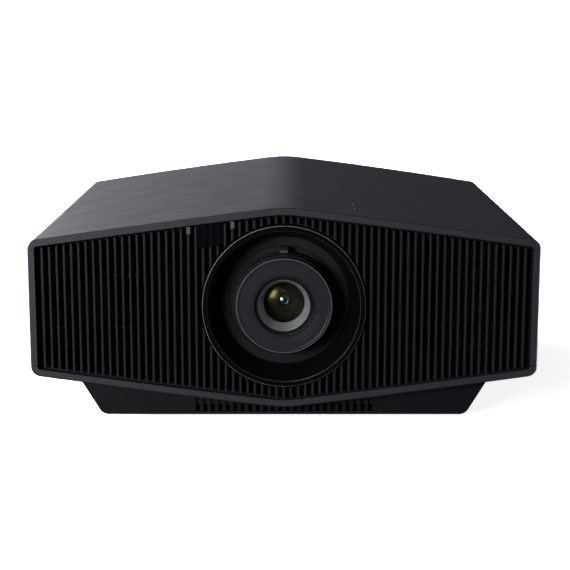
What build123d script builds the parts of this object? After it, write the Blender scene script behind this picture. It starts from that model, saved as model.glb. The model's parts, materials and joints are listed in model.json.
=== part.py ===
from build123d import *
import math
import os

# ---------------------------------------------------------------------------
# Home projector.  Millimetres, +Z up, front faces -Y, origin under the middle
# of the casing on the surface it stands on.
# ---------------------------------------------------------------------------

# Overall
WIDTH = 460.0
DEPTH = 472.0            # lens ring to rear panel
RIDGE_Z = 201.06         # roof planes' meeting line, before it is rounded
KEEL_Z = 15.87           # lower V's tip, before it is rounded
EAVE_FALL = 30.6268      # from the ridge down to the casing's side
ROOF_CROWN = 5.0e-5      # part of the fall that grows with the square of the distance
ROOF_SLOPE = (EAVE_FALL - ROOF_CROWN * (WIDTH / 2) ** 2) / (WIDTH / 2)
RIDGE_RADIUS = 147.0
KEEL_RADIUS = 120.0
EAVE_RADIUS = 9.0
BILGE_RADIUS = 9.5
REAR_SAG = 19.0          # how far the rear face falls back at the sides
REAR_EDGE_RADIUS = 7.0
WALL = 2.5
SEAM = 0.4               # visible line between casing pieces
UPPER_SEAM_Z = 161.6
LOWER_SEAM_Z = 55.5
RING_PROUD = 1.5         # lens ring in front of the bezel
FRONT = -DEPTH / 2 + RING_PROUD
REAR_DEPTH = DEPTH - RING_PROUD

# Front bezel and grille
BEZEL_WIDTH = 6.4
BEZEL_DEPTH = 3.0
BEZEL_CHAMFER = 1.0
FIN_PITCH = 6.572
FIN_WIDTH = 2.1
FIN_COUNT = 2 * math.floor((WIDTH / 2 - BEZEL_WIDTH - FIN_WIDTH / 2) / FIN_PITCH) + 1
FIN_FRONT = 1.6
FIN_GAP = 2.2            # fin tip to bezel
BACKING_FRONT = 9.0
BACKING_THICK = 2.0
GRILLE_LENS_GAP = 1.6    # fin ends to the lens ring

# Lens surround and lens
LENS_Z = 110.2
RING_RADIUS = 74.0
RING_BAND = 5.0
FUNNEL_DEPTH = 29.5
FUNNEL_END_RADIUS = 59.5
FUNNEL_WALL = 2.0
LENS_FRONT = 3.0
LENS_RADIUS = 44.2
LENS_STEP_RADIUS = 26.0
BAFFLE_FRONT = 6.0
BAFFLE_RADIUS = 23.2
GLASS_RADIUS = 19.4
GLASS_EDGE = 21.0
GLASS_BULGE = 4.5
BARREL_RADIUS = 40.0
BARREL_BORE = BARREL_RADIUS - 4.0
RING_SEAT_RADIUS = BARREL_RADIUS + 2.0   # barrel under the focus and zoom rings
COLLAR_RADIUS = 44.0     # behind the zoom ring
COLLAR_DEPTH = 29.2
FLANGE_RADIUS = 52.0
BARREL_END = 150.0
REAR_MOUTH_RADIUS = 22.0
FOCUS_RING = (10.0, 18.5, 45.6, 60)      # from depth, to depth, radius, grooves
ZOOM_RING = (19.2, 28.6, 46.2, 48)
GRIP_RADIUS = 0.6        # a grip groove's radius
SHIELD_DEPTH = 32.0
SHIELD_RADIUS = 67.0
SHIELD_THICK = 1.5
SHIELD_RIB = 50.5        # radius of the shield's groove
FOCUS_GROUP_DEPTH = 46.0
ZOOM_GROUP_DEPTH = 96.0
CELL_LENGTH = 16.0
CELL_WALL = 8.0          # barrel bore to group glass
RUN = 0.05               # radial clearance of a running fit
SHIFT_X = 3.4            # lens shift each way
SHIFT_Z = 5.4

# Base, feet and mounting holes
BASE_Z = 4.0
BASE_SETBACK = 21.35
BASE_HALF = WIDTH / 2 - 61.9
BASE_LEAN = 31.0         # degrees from upright
BASE_CORNER = 10.0
BASE_REAR = REAR_DEPTH - 40.5
BASE_SLOTS = 24
BASE_SLOT_PITCH = 6.95
BASE_SLOT_WIDTH = 3.6
BASE_SLOT_RISE = 3.0
FOOT_X = BASE_HALF - 33.1
FOOT_DEPTH = 60.0
REAR_FOOT_DEPTH = BASE_REAR - 40.0
PAD_RADIUS = 15.0
PAD_HEIGHT = 3.0
STUD_RADIUS = 4.0
STUD_TOP = 24.0
MOUNT_SPACING_X = 200.0
MOUNT_SPACING_Y = 160.0
MOUNT_DEPTH = BASE_REAR - 200.0   # middle of the ceiling-mount holes
MOUNT_HOLE_RADIUS = 2.5
MOUNT_HOLE_LENGTH = 9.0

# Lens-shift access in the roof
COVER_HALF = 65.0
COVER_FRONT = 31.0
COVER_REAR = 75.0
COVER_CORNER = 3.0
COVER_GAP = 0.35
WELL_FLOOR_Z = 184.0
WELL_WALL = 2.0
WELL_LEDGE = 5.0

# Lens-shift works, as depths behind the bezel
V_PLATE = 44.0
H_PLATE = 57.0
FRAME_PLATE = 73.0
PLATE_THICK = 4.0
ROD_RADIUS = 2.5
ROD_X = 70.0
H_ROD_Z = (60.5, 160.0)
V_DIAL_X = -30.0
H_DIAL_X = 30.0
H_DIAL_Z = 180.0
SCREW_DEPTH = 52.5
V_DIAL_RADIUS = 11.0
H_DIAL_RADIUS = 10.5

# Chassis and boards
CHASSIS_Z = 50.0
CHASSIS_THICK = 2.0
CHASSIS_HALF = WIDTH / 2 - 25.0
CHASSIS_FRONT = 48.0
CHASSIS_REAR = REAR_DEPTH - 32.5
BOARD_THICK = 1.6
MAIN_LENGTH = 145.0
POWER_FRONT = 112.0
# Tall parts on the power board: X from, X to, place behind its front edge, length, height
POWER_BLOCKS = (
    (-160.0, -122.0, 20.0, 38.0, 32.0),
    (-160.0, -118.0, 75.0, 55.0, 36.0),
    (-150.0, -105.0, 155.0, 30.0, 24.0),
    (-112.0, -108.0, 10.0, 130.0, 40.0),
)

# Fans
FAN_X = WIDTH / 2 - 62.0
FAN_Z = 112.0
FAN_SIZE = 90.0
FAN_FRONT = 15.0
FAN_THICK = 25.0
FAN_BORE = 43.0
FAN_HUB = 17.0
FAN_BLADES = 7

# Rear panel and terminals
REAR_RIM = 12.0
TERMINAL_HALF = 140.0
TERMINAL_Z = (66.0, 132.0)
TERMINAL_DEPTH = REAR_DEPTH - 18.5
SOCKET_FRONT = TERMINAL_DEPTH - 18.0
SLOT_WIDTH = 3.0
REAR_SLOT_PITCH = 6.6
SLOT_Z = (70.0, 152.0)
UPPER_SLOT_Z = (142.0, 162.0)
SIDE_SLOTS = 9
UPPER_SLOTS = 37
REAR_SCREW_RADIUS = 3.2
TERMINAL_SCREW_RADIUS = 2.5

# Buttons on the right side panel
BUTTON_GAP = 0.25
KEY_RECESS = 0.3         # key face below the panel's
KEY_FLANGE = 0.6
KEY_FLANGE_DEPTH = 2.0
KEYPAD_DEPTH = REAR_DEPTH - 90.5
KEYPAD_Z = 118.0
KEY_STEP = 13.0


# ---------------------------------------------------------------------------
# Helpers.  "depth" is the distance behind the bezel's front face.
# ---------------------------------------------------------------------------

def block(x0, x1, depth0, depth1, z0, z1):
    """Box between two X, two depths and two heights."""
    middle = Pos((x0 + x1) / 2, FRONT + (depth0 + depth1) / 2, (z0 + z1) / 2)
    return middle * Box(x1 - x0, depth1 - depth0, z1 - z0)


def rod_x(x0, x1, depth, z, radius):
    """Cylinder along X."""
    return Pos((x0 + x1) / 2, FRONT + depth, z) * Rot(0, 90, 0) * Cylinder(radius, x1 - x0)


def rod_y(x, z, depth0, depth1, radius):
    """Cylinder along Y."""
    middle = Pos(x, FRONT + (depth0 + depth1) / 2, z)
    return middle * Rot(90, 0, 0) * Cylinder(radius, depth1 - depth0)


def rod_z(x, depth, z0, z1, radius):
    """Cylinder along Z."""
    return Pos(x, FRONT + depth, (z0 + z1) / 2) * Cylinder(radius, z1 - z0)


def prism(face, depth0, depth1):
    """A face drawn in X and Z, extruded from one depth to another."""
    plane = Plane(origin=(0, FRONT + depth1, 0), x_dir=(1, 0, 0), z_dir=(0, -1, 0))
    return extrude(plane * face, depth1 - depth0)


def turned(profile, x=0.0, z=LENS_Z):
    """A closed outline of (radius, depth) points turned about a line along Y."""
    plane = Plane(origin=(x, FRONT, z), x_dir=(0, 0, 1), z_dir=(-1, 0, 0))
    outline = make_face(Polyline(*profile, close=True))
    return revolve(plane * outline, Axis((x, FRONT, z), (0, 1, 0)), 360)


def fused(pieces):
    """All the pieces joined into one."""
    pieces = list(pieces)
    return pieces[0] + pieces[1:]


def apart(pieces):
    """Several separate solids kept together in one node."""
    solids = []
    for piece in pieces:
        solids.extend(piece.solids())
    return Compound(children=solids)


def fall(x):
    """How far the roof has fallen at a distance from the middle."""
    return ROOF_SLOPE * abs(x) + ROOF_CROWN * x * x


def roof_z(x, inset=0.0):
    return RIDGE_Z - fall(x) - inset / math.cos(math.atan(ROOF_SLOPE))


def keel_z(x, inset=0.0):
    return KEEL_Z + fall(x) + inset / math.cos(math.atan(ROOF_SLOPE))


def hull_face(inset=0.0):
    """The casing's outline seen from the front, drawn in by inset all round."""
    half = WIDTH / 2 - inset
    ridge = (0, roof_z(0, inset))
    keel = (0, keel_z(0, inset))
    eaves = [(side * half, roof_z(half, inset)) for side in (1, -1)]
    bilges = [(side * half, keel_z(half, inset)) for side in (1, -1)]
    edges = [
        ThreePointArc(ridge, (half / 2, roof_z(half / 2, inset)), eaves[0]),
        Line(eaves[0], bilges[0]),
        ThreePointArc(bilges[0], (half / 2, keel_z(half / 2, inset)), keel),
        ThreePointArc(keel, (-half / 2, keel_z(half / 2, inset)), bilges[1]),
        Line(bilges[1], eaves[1]),
        ThreePointArc(eaves[1], (-half / 2, roof_z(half / 2, inset)), ridge),
    ]
    face = make_face(Curve() + edges)
    corners = (
        (ridge, RIDGE_RADIUS),
        (keel, KEEL_RADIUS),
        (eaves[0], EAVE_RADIUS),
        (eaves[1], EAVE_RADIUS),
        (bilges[0], BILGE_RADIUS),
        (bilges[1], BILGE_RADIUS),
    )
    for corner, radius in corners:
        near = face.vertices().sort_by_distance((corner[0], corner[1], 0))[0]
        face = fillet(near, max(radius - inset, 1.0))
    return face


def rear_cylinder(inset=0.0):
    """The wide upright cylinder whose wall is the rear face."""
    radius = ((WIDTH / 2) ** 2 + REAR_SAG ** 2) / (2 * REAR_SAG)
    centre = Pos(0, FRONT + REAR_DEPTH - radius, RIDGE_Z / 2)
    return centre * Cylinder(radius - inset, RIDGE_Z * 2)


def write(name, shape):
    """One STEP file for each node."""
    solids = shape.solids()
    print(name, len(solids), round(sum(s.volume for s in solids)), flush=True)
    export_step(shape, f"parts/{name}.step")


# ---------------------------------------------------------------------------
# Casing
# ---------------------------------------------------------------------------

def outer_hull():
    """The casing as one solid with its rear edge rounded and its front edge chamfered."""
    hull = prism(hull_face(), 0, REAR_DEPTH) & rear_cylinder()
    rear = hull.faces().sort_by(Axis.Y)[-1]
    hull = fillet(rear.edges(), REAR_EDGE_RADIUS)
    front = hull.faces().sort_by(Axis.Y)[0]
    return chamfer(front.edges(), BEZEL_CHAMFER)


def casing_shell():
    inner = prism(hull_face(WALL), BEZEL_DEPTH, REAR_DEPTH) & rear_cylinder(WALL)
    mouth = prism(hull_face(BEZEL_WIDTH), -1, BEZEL_DEPTH + 1)
    return outer_hull() - inner - mouth


def rear_opening(gap=0.0):
    return prism(hull_face(REAR_RIM + gap), REAR_DEPTH - 60, REAR_DEPTH + 1)


def cover_outline(gap, z0, z1):
    """The access cover's plan, drawn in by gap."""
    width = 2 * (COVER_HALF - gap)
    length = COVER_REAR - COVER_FRONT - 2 * gap
    plan = RectangleRounded(width, length, COVER_CORNER - gap)
    return Pos(0, FRONT + (COVER_FRONT + COVER_REAR) / 2, z0) * extrude(plan, z1 - z0)


def above_seam(shell):
    return shell & block(-WIDTH, WIDTH, -10, DEPTH + 10, UPPER_SEAM_Z + SEAM / 2, RIDGE_Z + 10)


def top_cover(shell):
    return above_seam(shell) - rear_opening() - cover_outline(0, UPPER_SEAM_Z, RIDGE_Z + 5)


def side_panel(shell, side):
    x0, x1 = sorted((side * WIDTH / 4, side * WIDTH))
    band = block(x0, x1, -10, DEPTH + 10, LOWER_SEAM_Z + SEAM / 2, UPPER_SEAM_Z - SEAM / 2)
    panel = (shell & band) - rear_opening()
    if side > 0:
        panel = panel - [key_hole(key) for key in KEYS]
    return panel


def bottom_cover(shell):
    """Lower shell with the V-shaped floor, posts for the chassis and air holes above the base."""
    below = block(-WIDTH, WIDTH, -10, DEPTH + 10, -10, LOWER_SEAM_Z - SEAM / 2)
    cover = (shell & below) - rear_opening()
    middle = MOUNT_DEPTH
    for x in (-60, 0, 60):
        for depth0, depth1 in ((70, middle - 20), (middle + 20, BASE_REAR - 30)):
            cover = cover - block(x - 20, x + 20, depth0, depth1, 0, CHASSIS_Z)
    posts = []
    outer = CHASSIS_HALF - 15
    front = CHASSIS_FRONT + 22
    rear = CHASSIS_REAR - 28
    places = [(x, depth) for x in (-outer, outer) for depth in (front, (front + rear) / 2, rear)]
    places += [(x, depth) for x in (-110, 110) for depth in (front, rear)]
    for x, depth in places:
        posts.append(rod_z(x, depth, keel_z(x) + WALL / 2, CHASSIS_Z, 5))
    return cover + posts


def base_outline(inset=0.0):
    """The base tub seen from the front."""
    lean = math.tan(math.radians(BASE_LEAN))
    side = inset / math.cos(math.radians(BASE_LEAN))
    top = 60.0
    low_half = BASE_HALF - side + inset * lean
    high_half = BASE_HALF - side + (top - BASE_Z) * lean
    z0 = BASE_Z + inset
    points = [(-low_half, z0), (low_half, z0), (high_half, top), (-high_half, top)]
    face = make_face(Polyline(*points, close=True))
    low = face.vertices().sort_by(Axis.Y)[:2]
    return fillet(low, max(BASE_CORNER - inset, 1.0))


def foot_places():
    return [(-FOOT_X, FOOT_DEPTH), (FOOT_X, FOOT_DEPTH)]


def mount_places():
    return [
        (sx * MOUNT_SPACING_X / 2, MOUNT_DEPTH + sy * MOUNT_SPACING_Y / 2)
        for sx in (-1, 1)
        for sy in (-1, 1)
    ]


def base_screw_places():
    return [(sx * 60, depth) for sx in (-1, 1) for depth in (100, BASE_REAR - 70)]


def base_tub():
    """Lower tub: slanted sides, slotted front, bosses for the feet and the mounting holes."""
    wall = WALL
    outer = prism(base_outline(), BASE_SETBACK, BASE_REAR)
    inner = prism(base_outline(wall), BASE_SETBACK + wall, BASE_REAR - wall)
    tub = outer - inner
    bosses = [rod_z(x, depth, BASE_Z, BASE_Z + 12, 9) for x, depth in foot_places()]
    bosses += [rod_z(x, depth, BASE_Z, BASE_Z + MOUNT_HOLE_LENGTH + 2, 8) for x, depth in mount_places()]
    tub = tub + bosses
    slots = []
    for n in range(BASE_SLOTS):
        x = (n - (BASE_SLOTS - 1) / 2) * BASE_SLOT_PITCH
        z0 = BASE_Z + BASE_SLOT_RISE
        slots.append(block(x - BASE_SLOT_WIDTH / 2, x + BASE_SLOT_WIDTH / 2, 0, 40, z0, 60))
    tub = tub - slots
    # Joins the comb of the slotted front along its top edge.
    half = BASE_SLOTS * BASE_SLOT_PITCH / 2 + 2
    rail = block(-half, half, BASE_SETBACK + wall, BASE_SETBACK + 2 * wall, BASE_Z, 60)
    tub = tub + (rail - block(-half, half, 0, 60, BASE_Z + wall, BASE_Z + 9))
    tub = tub - prism(hull_face(-0.3), -10, REAR_DEPTH)
    holes = [rod_z(x, depth, 0, 40, STUD_RADIUS + RUN) for x, depth in foot_places()]
    mount_top = BASE_Z + MOUNT_HOLE_LENGTH
    holes += [rod_z(x, depth, 0, mount_top, MOUNT_HOLE_RADIUS) for x, depth in mount_places()]
    holes += [rod_z(x, depth, 0, 10, 1.6) for x, depth in base_screw_places()]
    return tub - holes


def terminal_opening(gap=0.0, depth0=REAR_DEPTH - 40, depth1=REAR_DEPTH + 5):
    half = TERMINAL_HALF - gap
    return block(-half, half, depth0, depth1, TERMINAL_Z[0] + gap, TERMINAL_Z[1] - gap)


def rear_panel(shell):
    """Rear wall with the terminal pocket and two banks of intake slots."""
    panel = shell & rear_opening(SEAM)
    box = terminal_opening(-WALL, TERMINAL_DEPTH) & rear_cylinder(0.5)
    panel = panel + box - terminal_opening(0)
    slots = []
    for side in (-1, 1):
        for n in range(SIDE_SLOTS):
            x = side * (TERMINAL_HALF + 12 + n * REAR_SLOT_PITCH)
            slots.append(block(x - SLOT_WIDTH / 2, x + SLOT_WIDTH / 2, BASE_REAR, DEPTH, *SLOT_Z))
    for n in range(UPPER_SLOTS):
        x = (n - (UPPER_SLOTS - 1) / 2) * REAR_SLOT_PITCH
        slots.append(block(x - SLOT_WIDTH / 2, x + SLOT_WIDTH / 2, BASE_REAR, DEPTH, *UPPER_SLOT_Z))
    screws = [rod_y(x, z, BASE_REAR, DEPTH, REAR_SCREW_RADIUS + 0.15) for x, z in rear_screw_places()]
    return panel - slots - screws


def rear_screw_places():
    """Screws round the rear panel's edge."""
    half = TERMINAL_HALF + 4
    low = [(side * half, LOWER_SEAM_Z + 8) for side in (-1, 1)]
    high = [(side * (WIDTH / 2 - 24), SLOT_Z[1] + 3.8) for side in (-1, 1)]
    return low + high + [(0, keel_z(0) + 22)]


def rear_face(x):
    """Depth of the rear face at a distance from the middle."""
    radius = ((WIDTH / 2) ** 2 + REAR_SAG ** 2) / (2 * REAR_SAG)
    return REAR_DEPTH - radius + math.sqrt(radius * radius - x * x)


def pan_screw(x, z, face, radius, length):
    """Screw along Y with a cross recess in its head."""
    head = rod_y(x, z, face - length, face, radius)
    arms = block(x - 0.5, x + 0.5, face - 1, face + 1, z - radius * 0.7, z + radius * 0.7)
    arms = arms + block(x - radius * 0.7, x + radius * 0.7, face - 1, face + 1, z - 0.5, z + 0.5)
    return head - arms


# ---------------------------------------------------------------------------
# Front
# ---------------------------------------------------------------------------

IR_FINS = (-11, -10, -9)
GUIDE_FINS = (-13, -7)
IR_HEIGHT = 20.0
GUIDE_DROP = 6.0         # fins under the indicator guides are this much shorter
RAIL_Z = (90.0, 138.0)   # fin ties across the open part of the backing
OPENINGS = (
    (-FAN_X - 45.0, -FAN_X + 44.0, 63.0, 166.0),
    (FAN_X - 49.0, FAN_X - 30.0, 66.0, 165.0),
    (FAN_X + 28.0, FAN_X + 41.0, 66.0, 162.0),
)
SCREEN = (FAN_X - 24.0, FAN_X + 21.0, 70.0, 164.0)
SCREEN_MARGIN = 3.0
SCREEN_THICK = 0.8
HOLE_PITCH = 4.0
HOLE_RADIUS = 1.25


def fin_polygons(x, drop):
    """Fin outlines at one place, in one piece or above and below the lens ring."""
    x0 = x - FIN_WIDTH / 2
    x1 = x + FIN_WIDTH / 2
    inset = BEZEL_WIDTH + FIN_GAP
    clear = RING_RADIUS + GRILLE_LENS_GAP

    def top(at):
        return roof_z(at, inset) - drop

    def bottom(at):
        return keel_z(at, inset)

    def strip(low, high):
        corners = [(x0, low(x0)), (x1, low(x1)), (x1, high(x1)), (x0, high(x0))]
        return make_face(Polyline(*corners, close=True))

    if abs(x) + FIN_WIDTH / 2 >= clear:
        return [strip(bottom, top)]

    def reach(at):
        return math.sqrt(clear * clear - at * at)

    def under_ring(at):
        return LENS_Z - reach(at)

    def over_ring(at):
        return LENS_Z + reach(at)

    return [strip(bottom, under_ring), strip(over_ring, top)]


def front_grille():
    """Upright fins on a dark backing plate that is open where air leaves."""
    back = BACKING_FRONT + BACKING_THICK
    plate = hull_face(WALL + 0.6) - Pos(0, LENS_Z) * Circle(RING_RADIUS + 0.3)
    for x0, x1, z0, z1 in OPENINGS + (SCREEN,):
        plate = plate - Pos((x0 + x1) / 2, (z0 + z1) / 2) * Rectangle(x1 - x0, z1 - z0)
    grille = prism(plate, BACKING_FRONT, back)
    fins = []
    half = FIN_COUNT // 2
    for n in range(-half, half + 1):
        drop = IR_HEIGHT if n in IR_FINS else 0.0
        drop = GUIDE_DROP if n in GUIDE_FINS else drop
        for face in fin_polygons(n * FIN_PITCH, drop):
            fins.append(prism(face, FIN_FRONT, BACKING_FRONT + 0.5))
    rails = []
    for z in RAIL_Z:
        for x0, x1 in ((-FAN_X - 47, -FAN_X + 46), (FAN_X - 51, FAN_X + 43)):
            rails.append(block(x0, x1, BACKING_FRONT - 2, BACKING_FRONT + 0.5, z - 0.8, z + 0.8))
    return grille + fins + rails


def exhaust_screen():
    """Perforated sheet behind the right half of the grille."""
    x0, x1, z0, z1 = SCREEN
    holes = []
    for row in range(int((z1 - z0 - 4) / HOLE_PITCH)):
        shift = HOLE_PITCH / 2 if row % 2 else 0.0
        for column in range(int((x1 - x0 - 6) / HOLE_PITCH)):
            x = x0 + 4 + shift + column * HOLE_PITCH
            z = z0 + 5 + row * HOLE_PITCH
            holes.append(Wire.make_circle(HOLE_RADIUS, Plane(origin=(x, z, 0))))
    size = (x1 - x0 + 2 * SCREEN_MARGIN, z1 - z0 + 2 * SCREEN_MARGIN)
    rim = Rectangle(*size).wire().moved(Location(((x0 + x1) / 2, (z0 + z1) / 2, 0)))
    sheet = Face(rim, holes)
    back = BACKING_FRONT + BACKING_THICK
    return prism(sheet, back, back + SCREEN_THICK)


def ir_window():
    """Smoky window over the remote-control receiver, behind shortened fins."""
    x0 = (IR_FINS[0] - 1) * FIN_PITCH + FIN_WIDTH / 2 + 0.2
    x1 = (IR_FINS[-1] + 1) * FIN_PITCH - FIN_WIDTH / 2 - 0.2
    inset = BEZEL_WIDTH + 0.6

    def low(at):
        return roof_z(at, BEZEL_WIDTH + FIN_GAP) - IR_HEIGHT + 0.5

    points = [(x0, low(x0)), (x1, low(x1)), (x1, roof_z(x1, inset)), (x0, roof_z(x0, inset))]
    pane = prism(make_face(Polyline(*points, close=True)), FIN_FRONT + 0.6, BACKING_FRONT)
    return pane


def indicator_guides():
    guides = []
    for n in GUIDE_FINS:
        x = n * FIN_PITCH
        high = roof_z(x, BEZEL_WIDTH + FIN_GAP) + 0.8
        guides.append(block(x - 1.7, x + 1.7, FIN_FRONT, BACKING_FRONT, high - 6.3, high))
    return apart(guides)


def lens_surround():
    """Bright-edged ring, dark funnel and the flange that fastens it behind the grille."""
    inner = RING_RADIUS - RING_BAND
    profile = [
        (inner, -RING_PROUD + 0.6),
        (inner + 0.6, -RING_PROUD),
        (RING_RADIUS - 0.8, -RING_PROUD),
        (RING_RADIUS, -RING_PROUD + 0.8),
        (RING_RADIUS, BACKING_FRONT + BACKING_THICK + 0.5),
        (RING_RADIUS + 8, BACKING_FRONT + BACKING_THICK + 0.5),
        (RING_RADIUS + 8, BACKING_FRONT + BACKING_THICK + 2.5),
        (RING_RADIUS - 6, BACKING_FRONT + BACKING_THICK + 2.5),
        (FUNNEL_END_RADIUS + FUNNEL_WALL, FUNNEL_DEPTH),
        (FUNNEL_END_RADIUS, FUNNEL_DEPTH),
        (inner - 0.5, 0.5),
    ]
    return turned(profile)


# ---------------------------------------------------------------------------
# Lens-shift access
# ---------------------------------------------------------------------------

def shift_cover(shell):
    """The piece of the roof that lifts off above the lens-shift dials."""
    return above_seam(shell) & cover_outline(COVER_GAP, UPPER_SEAM_Z, RIDGE_Z + 5)


def shift_well():
    """Tray under the lid, with a hole for the upright dial's shaft and a slot for the wheel."""
    reach = 4.0
    outer = block(
        -COVER_HALF - reach, COVER_HALF + reach, COVER_FRONT - reach, COVER_REAR + reach,
        WELL_FLOOR_Z, RIDGE_Z + 5)
    inner = block(
        -COVER_HALF + WELL_LEDGE, COVER_HALF - WELL_LEDGE,
        COVER_FRONT + WELL_LEDGE - 2, COVER_REAR - WELL_LEDGE + 2,
        WELL_FLOOR_Z + WELL_WALL, RIDGE_Z + 10)
    well = (outer - inner) & prism(hull_face(WALL + 0.1), 0, REAR_DEPTH)
    shaft = rod_z(V_DIAL_X, SCREW_DEPTH, 150, RIDGE_Z, ROD_RADIUS + SHIFT_X + 1.5)
    wheel = block(
        H_DIAL_X - 6, H_DIAL_X + 6, SCREW_DEPTH - H_DIAL_RADIUS - 1, SCREW_DEPTH + H_DIAL_RADIUS + 1,
        150, WELL_FLOOR_Z + 5)
    return well - shaft - wheel


# ---------------------------------------------------------------------------
# Lens shift: frame, carriages, rods and dials
# ---------------------------------------------------------------------------

PLATE_HALF = 80.0
LUG = 5.0


def lens_mount_frame():
    """Fixed upright plate on the chassis, with lugs for the horizontal rods and the lead screw."""
    base = CHASSIS_Z + CHASSIS_THICK
    reach = math.hypot(SHIFT_X, SHIFT_Z) + 1.5
    plate = block(-95, 95, FRAME_PLATE, FRAME_PLATE + PLATE_THICK, base, H_DIAL_Z + 3.5)
    foot = block(-95, 95, FRAME_PLATE, FRAME_PLATE + 24, base, base + 3)
    lugs = []
    for side in (-1, 1):
        for z in H_ROD_Z:
            x0, x1 = sorted((side * (PLATE_HALF + SHIFT_X + 0.6), side * 92))
            lugs.append(block(x0, x1, FRAME_PLATE - 11, FRAME_PLATE, z - LUG, z + LUG))
    for x in (14.0, 42.0):
        lugs.append(block(x, x + 4, SCREW_DEPTH - 4, FRAME_PLATE, H_DIAL_Z - 4, H_DIAL_Z + 3.5))
    frame = fused([plate, foot] + lugs)
    frame = frame - rod_y(0, LENS_Z, FRAME_PLATE - 1, FRAME_PLATE + 10, BARREL_RADIUS + reach)
    holes = [rod_x(-100, 100, h_rod_depth(), z, ROD_RADIUS + 0.02) for z in H_ROD_Z]
    holes.append(rod_x(0, 60, SCREW_DEPTH, H_DIAL_Z, ROD_RADIUS + RUN))
    holes += [rod_z(x, FRAME_PLATE + 15, base - 1, base + 4, 2.1) for x in (-80, -30, 30, 80)]
    return frame - holes


def h_rod_depth():
    return H_PLATE + PLATE_THICK + LUG + 0.5


def h_guide_rods():
    return apart([rod_x(-92, 92, h_rod_depth(), z, ROD_RADIUS) for z in H_ROD_Z])


def h_carriage():
    """Slides sideways on the fixed rods; carries the upright rods and the upright screw."""
    plate = block(-PLATE_HALF, PLATE_HALF, H_PLATE, H_PLATE + PLATE_THICK, 55.5, 166)
    parts = [plate]
    lug_front = V_PLATE + PLATE_THICK + 0.5
    for x0, x1, z1 in ((V_DIAL_X - 10, V_DIAL_X + 10, 173.0), (-8.0, 6.0, H_DIAL_Z + 3.5)):
        parts.append(block(x0, x1, H_PLATE, H_PLATE + PLATE_THICK, 160, z1))
    for side in (-1, 1):
        for z in H_ROD_Z:
            x0, x1 = sorted((side * 40, side * 58))
            parts.append(block(x0, x1, H_PLATE, H_PLATE + PLATE_THICK + 2 * LUG, z - LUG, z + LUG))
        for z in (56.0, 160.0):
            parts.append(block(side * ROD_X - 6, side * ROD_X + 6, lug_front, H_PLATE, z, z + 6))
    parts.append(block(V_DIAL_X - 7, V_DIAL_X + 7, lug_front, H_PLATE, 167, 173))
    parts.append(block(-8, 6, lug_front, H_PLATE, H_DIAL_Z - 3.5, H_DIAL_Z + 3.5))
    carriage = fused(parts)
    window = Pos(0, LENS_Z) * SlotCenterToCenter(2 * SHIFT_Z, 2 * (BARREL_RADIUS + 1.5), rotation=90)
    carriage = carriage - prism(window, H_PLATE - 1, H_PLATE + PLATE_THICK + 1)
    holes = [rod_x(-70, 70, h_rod_depth(), z, ROD_RADIUS + RUN) for z in H_ROD_Z]
    holes += [rod_z(side * ROD_X, SCREW_DEPTH, 50, 170, ROD_RADIUS + 0.02) for side in (-1, 1)]
    holes.append(rod_z(V_DIAL_X, SCREW_DEPTH, 160, 180, ROD_RADIUS + RUN))
    holes.append(rod_x(-20, 10, SCREW_DEPTH, H_DIAL_Z, ROD_RADIUS + RUN))
    return carriage - holes


def v_guide_rods():
    return apart([rod_z(side * ROD_X, SCREW_DEPTH, 56, 166, ROD_RADIUS) for side in (-1, 1)])


def v_carriage():
    """Slides up and down on the upright rods and carries the lens."""
    plate = block(-PLATE_HALF, PLATE_HALF, V_PLATE, V_PLATE + PLATE_THICK, 66, 158)
    parts = [plate]
    back = H_PLATE - 1
    for side in (-1, 1):
        for z in (74.0, 126.0):
            parts.append(block(side * ROD_X - 5, side * ROD_X + 5, V_PLATE, back, z, z + 20))
    parts.append(block(V_DIAL_X - 6, V_DIAL_X + 6, V_PLATE, back, 150, 158))
    carriage = fused(parts) - rod_y(0, LENS_Z, V_PLATE - 1, back + 1, BARREL_RADIUS + 0.02)
    holes = [rod_z(side * ROD_X, SCREW_DEPTH, 60, 165, ROD_RADIUS + RUN) for side in (-1, 1)]
    holes.append(rod_z(V_DIAL_X, SCREW_DEPTH, 140, 165, ROD_RADIUS + RUN))
    return carriage - holes


def knurl(wheel, cutter_at, count):
    """A wheel with grip grooves cut round its rim."""
    return wheel - [cutter_at(2 * math.pi * n / count) for n in range(count)]


def h_shift_dial():
    """Thumb wheel on the sideways lead screw."""
    wheel = rod_x(H_DIAL_X - 4, H_DIAL_X + 4, SCREW_DEPTH, H_DIAL_Z, H_DIAL_RADIUS)

    def groove(angle):
        depth = SCREW_DEPTH + H_DIAL_RADIUS * math.cos(angle)
        return rod_x(H_DIAL_X - 5, H_DIAL_X + 5, depth, H_DIAL_Z + H_DIAL_RADIUS * math.sin(angle), 0.7)

    return knurl(wheel, groove, 24) + rod_x(-12, 50, SCREW_DEPTH, H_DIAL_Z, ROD_RADIUS)


def v_shift_dial():
    """Round dial on the upright lead screw."""
    z0 = WELL_FLOOR_Z + WELL_WALL + 0.6
    dial = rod_z(V_DIAL_X, SCREW_DEPTH, z0, z0 + 4.6, V_DIAL_RADIUS)

    def groove(angle):
        x = V_DIAL_X + V_DIAL_RADIUS * math.cos(angle)
        return rod_z(x, SCREW_DEPTH + V_DIAL_RADIUS * math.sin(angle), z0 - 1, z0 + 6, 0.7)

    return knurl(dial, groove, 26) + rod_z(V_DIAL_X, SCREW_DEPTH, 147, z0 + 1, ROD_RADIUS)


# ---------------------------------------------------------------------------
# Lens
# ---------------------------------------------------------------------------

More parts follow.
